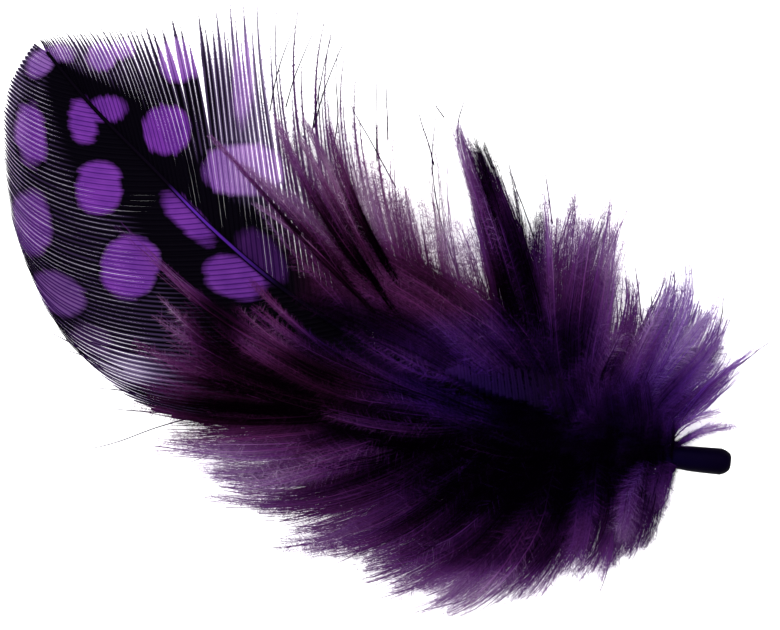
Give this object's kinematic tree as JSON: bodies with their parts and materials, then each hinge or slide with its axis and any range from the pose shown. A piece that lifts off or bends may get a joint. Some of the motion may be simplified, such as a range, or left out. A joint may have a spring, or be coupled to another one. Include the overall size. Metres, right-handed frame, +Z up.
{
  "type": "guinea fowl feather",
  "caption": "Spotted, dyed body feather with a curved shaft, a flat vane combed out at its edge and long downy locks, lying flat.",
  "frame": {"origin": "centre of the feather's box, on the surface that it lies on", "axes": "+X along the feather from its tip to its quill, +Z up from the surface, +Y across the vane"},
  "size_m": [0.0816, 0.0506, 0.0064],
  "materials": {
    "vane": "matt barbs, near black with violet dye, round violet spots",
    "down": "soft downy barbs, plum to violet, paler and see-through at the tips",
    "quill": "smooth horn with a silky gloss, dyed dark violet"
  },
  "bodies": {
    "root": {"feather": "vane"}
  },
  "joints": []
}
